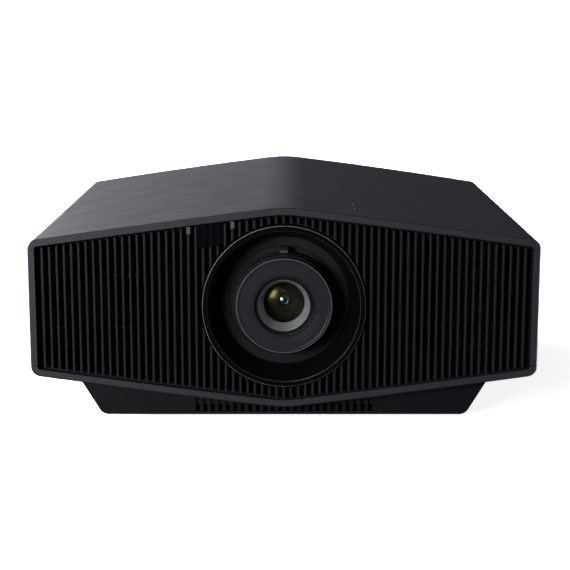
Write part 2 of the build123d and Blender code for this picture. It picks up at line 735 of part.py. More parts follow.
def lens_barrel():
    profile = [
        (LENS_STEP_RADIUS, LENS_FRONT + 6.6),
        (RING_SEAT_RADIUS, LENS_FRONT + 6.6),
        (RING_SEAT_RADIUS, COLLAR_DEPTH),
        (COLLAR_RADIUS, COLLAR_DEPTH),
        (COLLAR_RADIUS, COLLAR_DEPTH + 6.8),
        (BARREL_RADIUS, COLLAR_DEPTH + 6.8),
        (BARREL_RADIUS, V_PLATE - 3.5),
        (FLANGE_RADIUS, V_PLATE - 3.5),
        (FLANGE_RADIUS, V_PLATE - 0.1),
        (BARREL_RADIUS, V_PLATE - 0.1),
        (BARREL_RADIUS, 100.0),
        (BARREL_RADIUS - 2, 102.0),
        (BARREL_RADIUS - 2, BARREL_END),
        (REAR_MOUTH_RADIUS, BARREL_END),
        (REAR_MOUTH_RADIUS, BARREL_END - 3),
        (BARREL_BORE, BARREL_END - 3),
        (BARREL_BORE, LENS_FRONT + 10),
        (LENS_STEP_RADIUS, LENS_FRONT + 10),
    ]
    return turned(profile)


def lens_front_ring():
    """Flat annular face round the glass, with a rolled rim and a fine inner step."""
    z = LENS_FRONT
    profile = [
        (LENS_STEP_RADIUS, z + 1.2),
        (LENS_STEP_RADIUS + 0.8, z + 0.4),
        (LENS_RADIUS - 3.6, z + 0.4),
        (LENS_RADIUS - 3.0, z),
        (LENS_RADIUS - 0.8, z),
        (LENS_RADIUS, z + 0.8),
        (LENS_RADIUS, z + 6.5),
        (LENS_STEP_RADIUS, z + 6.5),
    ]
    return turned(profile)


def lens_baffle():
    """Cone that runs down to the front glass."""
    outer = LENS_STEP_RADIUS - 0.05
    profile = [
        (BAFFLE_RADIUS, BAFFLE_FRONT),
        (BAFFLE_RADIUS + 0.5, BAFFLE_FRONT - 0.5),
        (outer, BAFFLE_FRONT - 0.5),
        (outer, GLASS_EDGE + 6),
        (GLASS_RADIUS + 0.1, GLASS_EDGE + 6),
        (GLASS_RADIUS + 0.1, GLASS_EDGE + 0.2),
        (GLASS_RADIUS - 0.6, GLASS_EDGE - 0.6),
    ]
    return turned(profile)


def sphere_dip(radius, bulge, at):
    """How far a dome of the given edge radius and bulge stands above its edge at a radius."""
    ball = (radius * radius + bulge * bulge) / (2 * bulge)
    return math.sqrt(ball * ball - at * at) - (ball - bulge)


def domed_lens(radius, edge_depth, bulge, thick, rear_bulge=0.0):
    """A glass with a convex front and a flat or convex rear."""
    half = radius / 2
    rear_edge = edge_depth + thick - rear_bulge
    rear_middle = edge_depth + thick
    front_arc = ThreePointArc(
        (0, edge_depth - bulge), (half, edge_depth - sphere_dip(radius, bulge, half)), (radius, edge_depth))
    rim = Line((radius, edge_depth), (radius, rear_edge))
    if rear_bulge:
        middle = (half, rear_edge + sphere_dip(radius, rear_bulge, half))
        rear = ThreePointArc((radius, rear_edge), middle, (0, rear_middle))
    else:
        rear = Line((radius, rear_edge), (0, rear_middle))
    axis_line = Line((0, rear_middle), (0, edge_depth - bulge))
    plane = Plane(origin=(0, FRONT, LENS_Z), x_dir=(0, 0, 1), z_dir=(-1, 0, 0))
    outline = make_face(Curve() + [front_arc, rim, rear, axis_line])
    return revolve(plane * outline, Axis((0, FRONT, LENS_Z), (0, 1, 0)), 360)


def front_lens():
    return domed_lens(GLASS_RADIUS, GLASS_EDGE + 0.3, GLASS_BULGE, 5.5)


def lens_group(depth):
    """A glass in its sliding cell inside the barrel."""
    outer = BARREL_BORE - RUN
    glass = BARREL_BORE - CELL_WALL
    inner = glass + RUN
    end = depth + CELL_LENGTH
    cell = turned([(inner, depth), (outer, depth), (outer, end), (inner, end)])
    return apart([cell, domed_lens(glass, depth + 4, 3.5, 9.0, 2.5)])


def grip_ring(depth0, depth1, radius, count):
    """A lens ring with grip grooves."""
    inner = RING_SEAT_RADIUS + RUN
    ring = turned([(inner, depth0), (radius, depth0), (radius, depth1), (inner, depth1)])
    grooves = []
    for n in range(count):
        angle = 2 * math.pi * n / count
        x = radius * math.cos(angle)
        z = LENS_Z + radius * math.sin(angle)
        grooves.append(rod_y(x, z, depth0 - 1, depth1 + 1, GRIP_RADIUS))
    return ring - grooves


def focus_ring():
    return grip_ring(*FOCUS_RING)


def zoom_ring():
    """Zoom ring with the small lever that stands up from it."""
    ring = grip_ring(*ZOOM_RING)
    root = LENS_Z + ZOOM_RING[2] - 1.2
    lever = block(-3.8, 3.8, ZOOM_RING[0] + 0.8, ZOOM_RING[1] - 0.6, root, root + 6.0)
    return ring + lever


def dust_shield():
    """Thin shield that moves with the lens behind the funnel."""
    inner = COLLAR_RADIUS + RUN
    front = SHIELD_DEPTH
    profile = [
        (inner, front),
        (SHIELD_RIB - 0.5, front),
        (SHIELD_RIB - 0.2, front + 0.5),
        (SHIELD_RIB + 0.2, front + 0.5),
        (SHIELD_RIB + 0.5, front),
        (SHIELD_RADIUS, front),
        (SHIELD_RADIUS, front + SHIELD_THICK),
        (inner, front + SHIELD_THICK),
    ]
    return turned(profile)


# ---------------------------------------------------------------------------
# Light engine, cooling and boards
# ---------------------------------------------------------------------------

ENGINE_FRONT = 158.0
ENGINE_REAR = 240.0
PRISM = 44.0
PRISM_DEPTH = 188.0
WHEEL_X = 128.0
WHEEL_DEPTH = 216.0


def engine_housing():
    base = CHASSIS_Z + CHASSIS_THICK
    shell = block(-56, 56, ENGINE_FRONT, ENGINE_REAR, base, 152)
    shell = shell - block(-53, 53, ENGINE_FRONT + 3, ENGINE_REAR - 3, base + 3, 149)
    ways = rod_y(0, LENS_Z, ENGINE_FRONT - 1, ENGINE_FRONT + 4, 24)
    light_way = rod_x(50, 60, WHEEL_DEPTH, LENS_Z, 18)
    tube = rod_x(53, 100, WHEEL_DEPTH, LENS_Z, 20) - rod_x(52, 101, WHEEL_DEPTH, LENS_Z, 17.5)
    return shell - ways - light_way + tube


def prism_glass():
    """Beam-splitting prism and the relay lenses in the light tube."""
    half = PRISM / 2
    prism_cube = block(-half, half, PRISM_DEPTH - half, PRISM_DEPTH + half, LENS_Z - half, LENS_Z + half)
    lenses = [rod_x(x, x + 5, WHEEL_DEPTH, LENS_Z, 17.4) for x in (62.0, 78.0, 92.0)]
    return apart([prism_cube] + lenses)


def imaging_panels():
    half = PRISM / 2
    panels = [
        block(-half - 6, -half - 1, PRISM_DEPTH - 12, PRISM_DEPTH + 12, LENS_Z - 9, LENS_Z + 9),
        block(half + 1, half + 6, PRISM_DEPTH - 12, PRISM_DEPTH + 12, LENS_Z - 9, LENS_Z + 9),
        block(-12, 12, PRISM_DEPTH + half + 1, PRISM_DEPTH + half + 6, LENS_Z - 9, LENS_Z + 9),
    ]
    return apart(panels)


def phosphor_wheel():
    disc = rod_x(WHEEL_X, WHEEL_X + 1.6, WHEEL_DEPTH, LENS_Z, 32)
    hub = rod_x(WHEEL_X - 3, WHEEL_X + 4, WHEEL_DEPTH, LENS_Z, 11)
    return disc + hub


def wheel_motor():
    base = CHASSIS_Z + CHASSIS_THICK
    can = rod_x(WHEEL_X + 5, WHEEL_X + 20, WHEEL_DEPTH, LENS_Z, 14)
    arm = block(WHEEL_X + 12, WHEEL_X + 16, WHEEL_DEPTH - 10, WHEEL_DEPTH + 10, base, LENS_Z)
    foot = block(WHEEL_X + 4, WHEEL_X + 16, WHEEL_DEPTH - 14, WHEEL_DEPTH + 14, base, base + 3)
    return fused([can, arm, foot])


def laser_bank():
    """Block of laser diodes with its cold plate."""
    base = CHASSIS_Z + CHASSIS_THICK
    body = block(FAN_X - 2, FAN_X + 36, 176, 256, base, 145)
    plate = block(FAN_X - 8, FAN_X + 40, 171, 176, base, 145)
    cans = []
    for row in range(4):
        for column in range(4):
            cans.append(rod_x(FAN_X - 7, FAN_X - 1, 192 + column * 16, 86 + row * 16, 4.5))
    return fused([body, plate] + cans)


def heat_sink():
    """Finned block behind the right fan with heat pipes from the laser bank."""
    base = CHASSIS_Z + CHASSIS_THICK
    foot = block(FAN_X - 50, FAN_X + 42, 60, 150, base, base + 14)
    places = [FAN_X - 50 + 4 * n for n in range(23)]
    fins = [block(x, x + 1, 60, 150, base + 13, 150) for x in places]
    pipes = [rod_y(FAN_X + dx, base + 7, 62, 171, 3) for dx in (2, 16, 30)]
    return fused([foot] + fins + pipes)


def fan_frames():
    """Two square fan frames with struts and a motor cup."""
    frames = []
    for side in (-1, 1):
        x = side * FAN_X
        half = FAN_SIZE / 2
        back = FAN_FRONT + FAN_THICK
        frame = block(x - half, x + half, FAN_FRONT, back, FAN_Z - half, FAN_Z + half)
        frame = frame - rod_y(x, FAN_Z, FAN_FRONT - 1, back + 1, FAN_BORE)
        cup = rod_y(x, FAN_Z, back - 5, back, FAN_HUB)
        struts = []
        for angle in (45, 135, 225, 315):
            strut = Box(FAN_BORE + 1 - FAN_HUB + 2, 4, 4)
            reach = (FAN_BORE + FAN_HUB) / 2
            struts.append(Pos(x, FRONT + back - 2.5, FAN_Z) * Rot(0, -angle, 0) * Pos(reach, 0, 0) * strut)
        corners = [
            rod_y(x + sx * (half - 5), FAN_Z + sz * (half - 5), FAN_FRONT - 1, back + 1, 2.2)
            for sx in (-1, 1)
            for sz in (-1, 1)
        ]
        frames.append(fused([frame, cup] + struts) - corners)
    return apart(frames)


def fan_rotor(side):
    """Fan hub with raked blades."""
    x = side * FAN_X
    hub = rod_y(x, FAN_Z, FAN_FRONT + 1, FAN_FRONT + FAN_THICK - 6, FAN_HUB)
    blades = []
    for n in range(FAN_BLADES):
        length = FAN_BORE - 1.5 - FAN_HUB + 2
        blade = Rot(side * 35, 0, 0) * Box(length, 1.6, 22)
        reach = FAN_HUB - 2 + length / 2
        turn = Rot(0, -360 * n / FAN_BLADES, 0)
        blades.append(Pos(x, FRONT + FAN_FRONT + FAN_THICK / 2 - 3, FAN_Z) * turn * Pos(reach, 0, 0) * blade)
    reach = rod_y(x, FAN_Z, FAN_FRONT + 1, FAN_FRONT + FAN_THICK - 6, FAN_BORE - 1)
    return (hub + blades) & reach


def chassis():
    """Flat plate that carries the works, turned up at both sides."""
    edge = CHASSIS_HALF + 10
    lengthwise = (CHASSIS_FRONT, CHASSIS_REAR)
    tray = block(-edge, edge, *lengthwise, CHASSIS_Z, CHASSIS_Z + CHASSIS_THICK)
    for side in (-1, 1):
        x0, x1 = sorted((side * edge, side * (edge - CHASSIS_THICK)))
        tray = tray + block(x0, x1, *lengthwise, CHASSIS_Z, CHASSIS_Z + 12)
    vents = [block(x - 4, x + 4, 110, 145, 40, 60) for x in range(-96, 97, 16)]
    return tray - vents


def power_board():
    """Power supply: board on four posts with its capacitors, coils and heat spreader."""
    base = CHASSIS_Z + CHASSIS_THICK
    z = base + 8
    top = z + BOARD_THICK
    board = block(-202, -84, POWER_FRONT, POWER_FRONT + 240, z, top)
    ends = (POWER_FRONT + 6, POWER_FRONT + 234)
    posts = [rod_z(x, depth, base, z, 3) for x in (-196, -90) for depth in ends]
    tall = [rod_z(-185, POWER_FRONT + 30 + 28 * n, top, top + 38, 12) for n in range(4)]
    blocks = []
    for x0, x1, behind, length, height in POWER_BLOCKS:
        depth = POWER_FRONT + behind
        blocks.append(block(x0, x1, depth, depth + length, top, top + height))
    return apart([fused([board] + posts)] + tall + blocks)


def main_board():
    """Signal board behind the terminal panel, with chips and a finned spreader."""
    base = CHASSIS_Z + CHASSIS_THICK
    z = base + 14
    top = z + BOARD_THICK
    rear = TERMINAL_DEPTH - 7
    front = rear - MAIN_LENGTH
    board = block(-78, 150, front, rear, z, top)
    posts = [rod_z(x, depth, base, z, 3) for x in (-72, 144) for depth in (front + 6, rear - 15)]
    chips = [
        block(x, x + size, front + behind, front + behind + size, top, top + 2.5)
        for x, behind, size in ((-60, 30, 26), (70, 30, 22), (70, 70, 14), (-60, 70, 14))
    ]
    spreader = [block(0, 44, front + 25, front + 69, top, top + 6)]
    spreader += [block(x, x + 1.2, front + 25, front + 69, top + 5, top + 20) for x in range(0, 44, 4)]
    return apart([fused([board] + posts), fused(spreader)] + chips)


# Signal sockets: name, middle X, width, height
PORT_Z = 98.0
PORTS = (
    ("video", -62.0, 15.2, 6.2),
    ("video", -34.0, 15.2, 6.2),
    ("service", -6.0, 14.2, 7.0),
    ("network", 26.0, 16.0, 14.0),
    ("serial", 66.0, 31.0, 12.5),
)
JACKS = (100.0, 118.0)
JACK_RADIUS = 4.0
JACK_BORE = 1.8
INLET_X = -112.0
INLET_HALF = (14.0, 10.0)
INLET_WELL_HALF = (12.0, 8.2)
INLET_PINS = ((-7.0, -2.0), (0.0, 3.0), (7.0, -2.0))
SHELL = 0.6
PORT_GAP = 0.3
PORT_REAR = TERMINAL_DEPTH + 3.5


def row_box(x, half_width, half_height, depth0, depth1):
    """Box centred on the sockets' middle line."""
    return block(x - half_width, x + half_width, depth0, depth1, PORT_Z - half_height, PORT_Z + half_height)


def terminal_screw_places():
    """Screws at the terminal plate's corners and beside the mains inlet."""
    heights = (TERMINAL_Z[0] + 6, TERMINAL_Z[1] - 6)
    places = [(side * (TERMINAL_HALF - 6), z) for side in (-1, 1) for z in heights]
    return places + [(INLET_X - 19, PORT_Z), (INLET_X + 19, PORT_Z)]


def terminal_panel():
    """Metal plate at the bottom of the rear pocket."""
    plate = block(
        -TERMINAL_HALF - WALL, TERMINAL_HALF + WALL, TERMINAL_DEPTH - 1.6, TERMINAL_DEPTH - 0.1,
        TERMINAL_Z[0] - WALL, TERMINAL_Z[1] + WALL)
    through = (SOCKET_FRONT, PORT_REAR + 5)
    cuts = []
    for port in PORTS:
        x, width, height = port[1:]
        cuts.append(row_box(x, width / 2 + PORT_GAP, height / 2 + PORT_GAP, *through))
    for x in JACKS:
        cuts.append(rod_y(x, PORT_Z, *through, JACK_RADIUS + PORT_GAP))
    cuts.append(row_box(INLET_X, INLET_HALF[0] + PORT_GAP, INLET_HALF[1] + PORT_GAP, *through))
    return plate - cuts


def port_shells():
    """Metal shells of the signal sockets."""
    shells = []
    for port in PORTS:
        x, width, height = port[1:]
        outer = row_box(x, width / 2, height / 2, SOCKET_FRONT, PORT_REAR)
        inner = row_box(x, width / 2 - SHELL, height / 2 - SHELL, SOCKET_FRONT + 2, PORT_REAR + 1)
        shells.append(outer - inner)
    return apart(shells)


def port_inserts():
    """Plastic tongues inside the sockets and the bodies of the two round jacks."""
    pieces = []
    front = SOCKET_FRONT + 2.05
    for name, x, width, _height in PORTS:
        if name in ("video", "service"):
            pieces.append(row_box(x, width / 2 - 2, 0.6, front, PORT_REAR - 1))
        if name == "network":
            pieces.append(block(x - 5.5, x + 5.5, front, PORT_REAR - 9, PORT_Z + 3.5, PORT_Z + 6))
        if name == "serial":
            pieces.append(row_box(x, 8.5, 3.5, front, PORT_REAR - 5))
    for x in JACKS:
        jack = rod_y(x, PORT_Z, SOCKET_FRONT + 2, PORT_REAR, JACK_RADIUS)
        pieces.append(jack - rod_y(x, PORT_Z, SOCKET_FRONT + 6, PORT_REAR + 1, JACK_BORE))
    return apart(pieces)


def ac_inlet():
    """Three-pin mains inlet."""
    body = row_box(INLET_X, *INLET_HALF, SOCKET_FRONT - 4, PORT_REAR)
    well = row_box(INLET_X, *INLET_WELL_HALF, SOCKET_FRONT + 4, PORT_REAR + 1)
    pins = []
    for dx, dz in INLET_PINS:
        x = INLET_X + dx
        z = PORT_Z + dz
        pins.append(block(x - 1, x + 1, SOCKET_FRONT + 3, PORT_REAR - 5, z - 2, z + 2))
    return (body - well) + pins


# ---------------------------------------------------------------------------
# Feet, screws and buttons
# ---------------------------------------------------------------------------

def foot_pad(side):
    """Rubber pad under an adjustable foot."""
    pad = rod_z(side * FOOT_X, FOOT_DEPTH, 0, PAD_HEIGHT, PAD_RADIUS)
    pad = chamfer(pad.edges().sort_by(Axis.Z)[0], 0.8)
    return pad - rod_z(side * FOOT_X, FOOT_DEPTH, PAD_HEIGHT - 1.5, PAD_HEIGHT + 1, STUD_RADIUS + RUN)


def foot_screw(side):
    """Threaded stud of an adjustable foot, turned by its slotted head in the pad."""
    stud = rod_z(side * FOOT_X, FOOT_DEPTH, PAD_HEIGHT - 1.4, STUD_TOP, STUD_RADIUS)
    return chamfer(stud.edges().sort_by(Axis.Z)[-1], 0.8)


def rear_feet():
    return apart([rod_z(side * FOOT_X, REAR_FOOT_DEPTH, 0, BASE_Z, 11) for side in (-1, 1)])


def case_screws():
    """Countersunk screws under the base and the lens frame's screws on the chassis."""
    screws = []
    for x, depth in base_screw_places():
        shank = rod_z(x, depth, BASE_Z - 0.1, BASE_Z + 8, 1.5)
        head = rod_z(x, depth, BASE_Z - 1.6, BASE_Z - 0.1, 3.0)
        screws.append(shank + head)
    for x, z in rear_screw_places():
        screws.append(pan_screw(x, z, rear_face(x) - 0.5, REAR_SCREW_RADIUS, 1.9))
    for x, z in terminal_screw_places():
        screws.append(pan_screw(x, z, TERMINAL_DEPTH + 1.2, TERMINAL_SCREW_RADIUS, 1.2))
    base = CHASSIS_Z + CHASSIS_THICK
    for x in (-80, -30, 30, 80):
        shank = rod_z(x, FRAME_PLATE + 15, base + 0.2, base + 4, 2.0)
        head = rod_z(x, FRAME_PLATE + 15, base + 3.05, base + 5, 3.6)
        screws.append(shank + head)
    return apart(screws)


# Keys on the right side panel: name, step along the depth, step up, half width, half height
KEYS = (
    ("power_button", -3.0, 0.0, 6.0, 6.0),
    ("input_button", -1.7, 0.0, 4.5, 4.5),
    ("menu_button", 3.0, 0.0, 4.5, 4.5),
    ("enter_button", 0.6, 0.0, 4.5, 4.5),
    ("up_button", 0.6, 1.0, 4.5, 4.0),
    ("down_button", 0.6, -1.0, 4.5, 4.0),
    ("left_button", -0.45, 0.0, 4.0, 4.5),
    ("right_button", 1.65, 0.0, 4.0, 4.5),
)


def key_prism(key, gap, x0, x1):
    """A key's rounded outline, drawn out by gap, from one X to another."""
    step, rise, half_width, half_height = key[1:]
    depth = KEYPAD_DEPTH + step * KEY_STEP
    z = KEYPAD_Z + rise * KEY_STEP
    plan = RectangleRounded(2 * (half_width + gap), 2 * (half_height + gap), 1.5 + gap)
    plane = Plane(origin=(x0, FRONT + depth, z), x_dir=(0, 1, 0), z_dir=(1, 0, 0))
    return extrude(plane * plan, x1 - x0)


def key_hole(key):
    return key_prism(key, BUTTON_GAP, WIDTH / 2 - 10, WIDTH / 2 + 10)


def button(key):
    """A key cap with a wider flange that stops it inside the panel."""
    inside = WIDTH / 2 - WALL - 0.15
    back = inside - KEY_FLANGE_DEPTH
    cap = key_prism(key, 0.0, back, WIDTH / 2 - KEY_RECESS)
    return cap + key_prism(key, KEY_FLANGE, back, inside)


# ---------------------------------------------------------------------------
# Files
# ---------------------------------------------------------------------------

os.makedirs("parts", exist_ok=True)

SHELL_SOLID = casing_shell()

write("top_cover", top_cover(SHELL_SOLID))
write("left_side_panel", side_panel(SHELL_SOLID, -1))
write("right_side_panel", side_panel(SHELL_SOLID, 1))
write("bottom_cover", bottom_cover(SHELL_SOLID))
write("rear_panel", rear_panel(SHELL_SOLID))
write("base_tub", base_tub())
write("front_grille", front_grille())
write("exhaust_screen", exhaust_screen())
write("lens_surround", lens_surround())
write("ir_window", ir_window())
write("indicator_guides", indicator_guides())
write("shift_cover", shift_cover(SHELL_SOLID))
write("shift_well", shift_well())
write("chassis", chassis())
write("lens_mount_frame", lens_mount_frame())
write("h_guide_rods", h_guide_rods())
write("h_carriage", h_carriage())
write("v_guide_rods", v_guide_rods())
write("v_carriage", v_carriage())
write("h_shift_dial", h_shift_dial())
write("v_shift_dial", v_shift_dial())
write("lens_barrel", lens_barrel())
write("lens_front_ring", lens_front_ring())
write("lens_baffle", lens_baffle())
write("front_lens", front_lens())
write("focus_ring", focus_ring())
write("focus_group", lens_group(FOCUS_GROUP_DEPTH))
write("zoom_ring", zoom_ring())
write("zoom_group", lens_group(ZOOM_GROUP_DEPTH))
write("dust_shield", dust_shield())
write("engine_housing", engine_housing())
write("prism_glass", prism_glass())
write("imaging_panels", imaging_panels())
write("phosphor_wheel", phosphor_wheel())
write("wheel_motor", wheel_motor())
write("laser_bank", laser_bank())
write("heat_sink", heat_sink())
write("fan_frames", fan_frames())
write("left_fan_rotor", fan_rotor(-1))
write("right_fan_rotor", fan_rotor(1))
write("power_board", power_board())
write("main_board", main_board())
write("terminal_panel", terminal_panel())
write("port_shells", port_shells())
write("port_inserts", port_inserts())
write("ac_inlet", ac_inlet())
write("left_foot_pad", foot_pad(-1))
write("right_foot_pad", foot_pad(1))
write("left_foot_screw", foot_screw(-1))
write("right_foot_screw", foot_screw(1))
write("rear_feet", rear_feet())
write("case_screws", case_screws())
for key in KEYS:
    write(key[0], button(key))
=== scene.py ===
import json
import math

import bmesh
import bpy
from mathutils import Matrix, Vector


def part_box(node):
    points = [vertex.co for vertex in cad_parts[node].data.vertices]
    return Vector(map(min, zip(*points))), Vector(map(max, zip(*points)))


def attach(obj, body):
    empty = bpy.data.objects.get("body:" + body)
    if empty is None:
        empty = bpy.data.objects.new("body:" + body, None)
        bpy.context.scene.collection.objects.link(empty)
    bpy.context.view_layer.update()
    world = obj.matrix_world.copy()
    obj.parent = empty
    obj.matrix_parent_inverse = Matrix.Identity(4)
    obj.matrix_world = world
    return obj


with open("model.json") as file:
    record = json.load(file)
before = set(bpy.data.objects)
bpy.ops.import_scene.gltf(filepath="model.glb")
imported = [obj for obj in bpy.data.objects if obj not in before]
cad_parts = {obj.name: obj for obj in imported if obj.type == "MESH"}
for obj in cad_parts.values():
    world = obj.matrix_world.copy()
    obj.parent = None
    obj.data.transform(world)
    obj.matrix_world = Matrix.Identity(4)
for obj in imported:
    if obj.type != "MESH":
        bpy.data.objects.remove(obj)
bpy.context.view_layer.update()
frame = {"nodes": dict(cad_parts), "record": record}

NODES = frame["nodes"]

MM = 0.001
FIN_PITCH = 6.572 * MM
FIN_SHADE = (0.0018, 0.0050)       # painted shade: behind the bezel, the fins' colour fades to black between these
TURNING_WAVE = 2 * math.pi / (0.25 * MM)
WAVE_STEP = 20.0         # a wave texture turns this much, in radians, for each metre at scale 1
NOISE_RANGE = (0.3, 0.7)           # most of a noise texture lies between these

# Distances from the lens axis, in metres, at which a finish changes; the rim and ring line pairs bound thin
# painted highlights, and DISH_EDGE bounds the painted shade in the dish
DISH_EDGE = (0.0264, 0.0305)
RIM_START = (0.0433, 0.0436)
RIM_INNER_HIGHLIGHT = (0.0430, 0.0433)
RIM_OUTER_HIGHLIGHT = (0.0444, 0.0447)
RING_OUTER_HIGHLIGHT = (0.0734, 0.0737)
RING_INNER_HIGHLIGHT = (0.0690, 0.0692)
FUNNEL_EDGE = (0.0688, 0.0692)
BAFFLE_LIP = (0.0234, 0.0237)

# Printed marks, in millimetres
MARK = 0.05              # thickness of a printed mark
SKIN = 0.02              # how far a mark stands off its surface

# Studio, in metres and watts
FLOOR_COLOUR = (0.90, 0.90, 0.90)
FLOOR_GLOW = 0.86
WORLD_COLOUR = (0.75, 0.87, 1.0)
WORLD_STRENGTH = 0.03
LIGHT_AIM = (0.0, 0.0, 0.12)
# Name, place, size, power, colour
LIGHTS = (
    ("key_left", (-3.0, 2.0, 0.66), (1.6, 0.8), 980, (0.99, 0.985, 1.0)),
    ("back_left", (-2.2, 3.5, 0.95), (1.6, 0.9), 60, (0.9, 0.97, 1.0)),
    ("front_left", (-1.65, -2.8, 0.72), (1.2, 0.9), 80, (0.95, 0.98, 1.0)),
    ("top_left", (-1.2, -0.9, 3.0), (2.0, 1.2), 10, (1.0, 1.0, 1.0)),
    ("fill_right", (2.2, -1.6, 1.0), (1.0, 1.2), 2.5, (0.85, 0.93, 1.0)),
    ("bounce_right", (2.6, 0.9, -0.5), (1.6, 0.8), 60, (0.97, 0.98, 1.0)),
)

# Camera, in metres unless noted
SENSOR_WIDTH = 36.0                # mm
FOCAL_LENGTH = 91.0                # mm
CAMERA_X = 0.0009
CAMERA_DISTANCE = 1.2709           # in front of the bezel
CAMERA_HEIGHT = 0.3732
CAMERA_PITCH = math.radians(10.822)

# Places, read from the frame
BEZEL_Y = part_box("top_cover")[0].y
LENS_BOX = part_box("lens_front_ring")
LENS_Z = (LENS_BOX[0].z + LENS_BOX[1].z) / 2
LENS_Y = LENS_BOX[0].y


# ---------------------------------------------------------------------------
# Materials
# ---------------------------------------------------------------------------

def shade(colour, share):
    """A darker or lighter version of a colour."""
    return tuple(min(1.0, part * share) for part in colour)


class Shader:
    """A Principled material with a few short calls for its nodes."""

    def __init__(self, name, base, roughness, metallic=0.0, specular=0.5):
        self.material = bpy.data.materials.new(name)
        self.material.use_nodes = True
        self.tree = self.material.node_tree
        self.tree.nodes.clear()
        self.output = self.node("ShaderNodeOutputMaterial")
        self.shader = self.node("ShaderNodeBsdfPrincipled")
        self.shader.inputs["Base Color"].default_value = (*base, 1.0)
        self.shader.inputs["Roughness"].default_value = roughness
        self.shader.inputs["Metallic"].default_value = metallic
        self.shader.inputs["Specular IOR Level"].default_value = specular
        self.link(self.shader.outputs[0], self.output.inputs[0])
        self.base = base
        self.roughness = roughness
        self.height = None
        self.place = self.node("ShaderNodeTexCoord").outputs["Object"]

    def node(self, kind, **settings):
        made = self.tree.nodes.new(kind)
        for key, value in settings.items():
            setattr(made, key, value)
        return made

    def link(self, start, end):
        self.tree.links.new(start, end)

    def math(self, operation, a, b=0.0):
        made = self.node("ShaderNodeMath", operation=operation)
        for socket, value in zip(made.inputs, (a, b)):
            if isinstance(value, (int, float)):
                socket.default_value = value
            else:
                self.link(value, socket)
        return made.outputs[0]

    def split(self):
        """The place's X, Y and Z."""
        made = self.node("ShaderNodeSeparateXYZ")
        self.link(self.place, made.inputs[0])
        return made.outputs

    def noise(self, size, detail=3.0, rough=0.5, stretch=(1, 1, 1)):
        """Noise whose features are about size metres across."""
        mapping = self.node("ShaderNodeMapping")
        mapping.inputs["Scale"].default_value = stretch
        self.link(self.place, mapping.inputs[0])
        made = self.node("ShaderNodeTexNoise")
        made.inputs["Scale"].default_value = 1.0 / size
        made.inputs["Detail"].default_value = detail
        made.inputs["Roughness"].default_value = rough
        self.link(mapping.outputs[0], made.inputs["Vector"])
        return made.outputs["Fac"]

    def patches(self, size, detail=3.0, rough=0.5, low=0.0, high=1.0, stretch=(1, 1, 1)):
        """Noise spread over the range from low to high."""
        return self.ramp(self.noise(size, detail, rough, stretch), *NOISE_RANGE, low, high)

    def cells(self, size):
        """Distance to the nearest of many scattered points about size metres apart."""
        made = self.node("ShaderNodeTexVoronoi", feature="F1")
        made.inputs["Scale"].default_value = 1.0 / size
        self.link(self.place, made.inputs["Vector"])
        return made.outputs["Distance"]

    def ramp(self, value, low, high, out_low=0.0, out_high=1.0):
        made = self.node("ShaderNodeMapRange")
        made.inputs["From Min"].default_value = low
        made.inputs["From Max"].default_value = high
        made.inputs["To Min"].default_value = out_low
        made.inputs["To Max"].default_value = out_high
        self.link(value, made.inputs["Value"])
        return made.outputs["Result"]

    def mix(self, share, first, second):
        made = self.node("ShaderNodeMix", data_type="RGBA")
        self.link(share, made.inputs["Factor"])
        for index, colour in ((6, first), (7, second)):
            if isinstance(colour, tuple):
                made.inputs[index].default_value = (*colour, 1.0)
            else:
                self.link(colour, made.inputs[index])
        return made.outputs[2]

    def paint(self, colour):
        self.link(colour, self.shader.inputs["Base Color"])

    def vary_colour(self, size, amount, stretch=(1, 1, 1)):
        """Light and dark patches over the base colour."""
        share = self.patches(size, 4.0, 0.6, stretch=stretch)
        self.paint(self.mix(share, shade(self.base, 1 - amount), shade(self.base, 1 + amount)))

    def vary_roughness(self, size, amount, stretch=(1, 1, 1)):
        value = self.patches(
            size, 5.0, 0.6, self.roughness - amount, self.roughness + amount, stretch)
        self.link(value, self.shader.inputs["Roughness"])

    def raise_by(self, value, height):
        """Adds a height, in metres, to the bump."""
        added = self.math("MULTIPLY", value, height)
        self.height = added if self.height is None else self.math("ADD", self.height, added)

    def finish(self, edge):
        """Bump from the heights, over edges softened to a small radius."""
        normal = None
        if edge:
            bevel = self.node("ShaderNodeBevel", samples=6)
            bevel.inputs["Radius"].default_value = edge
            normal = bevel.outputs[0]
        if self.height is not None:
            bump = self.node("ShaderNodeBump")
            bump.inputs["Strength"].default_value = 1.0
            bump.inputs["Distance"].default_value = 1.0
            self.link(self.height, bump.inputs["Height"])
            if normal:
                self.link(normal, bump.inputs["Normal"])
            normal = bump.outputs[0]
        if normal:
            self.link(normal, self.shader.inputs["Normal"])
        return self.material


def textured_paint(name, base, roughness):
    """Sprayed finish with a fine pebble grain and faint handling marks."""
    grain, height = 0.00045, 0.000012
    made = Shader(name, base, roughness)
    made.vary_colour(0.05, 0.05)
    made.vary_roughness(0.03, 0.03)
    made.raise_by(made.noise(grain, 2.0, 0.5), height)
    made.raise_by(made.cells(grain * 2.2), height * 0.5)
    return made.finish(0.0005)


def moulded(name, base, roughness, height=0.000006, edge=0.0003, specular=0.5):
    """Injection-moulded plastic: spark-eroded grain and slight flow marks."""
    made = Shader(name, base, roughness, specular=specular)
    made.vary_colour(0.03, 0.08)
    made.vary_roughness(0.012, 0.05)
    made.raise_by(made.noise(0.0006, 3.0, 0.6), height)
    return made.finish(edge)


def machined(name, base, roughness, stretch):
    """Metal with directional tool marks."""
    made = Shader(name, base, roughness, 1.0)
    made.vary_colour(0.01, 0.10, stretch)
    made.vary_roughness(0.002, 0.06, stretch)
    made.raise_by(made.noise(0.0008, 4.0, 0.7, stretch), 0.000004)
    return made.finish(0.0002)


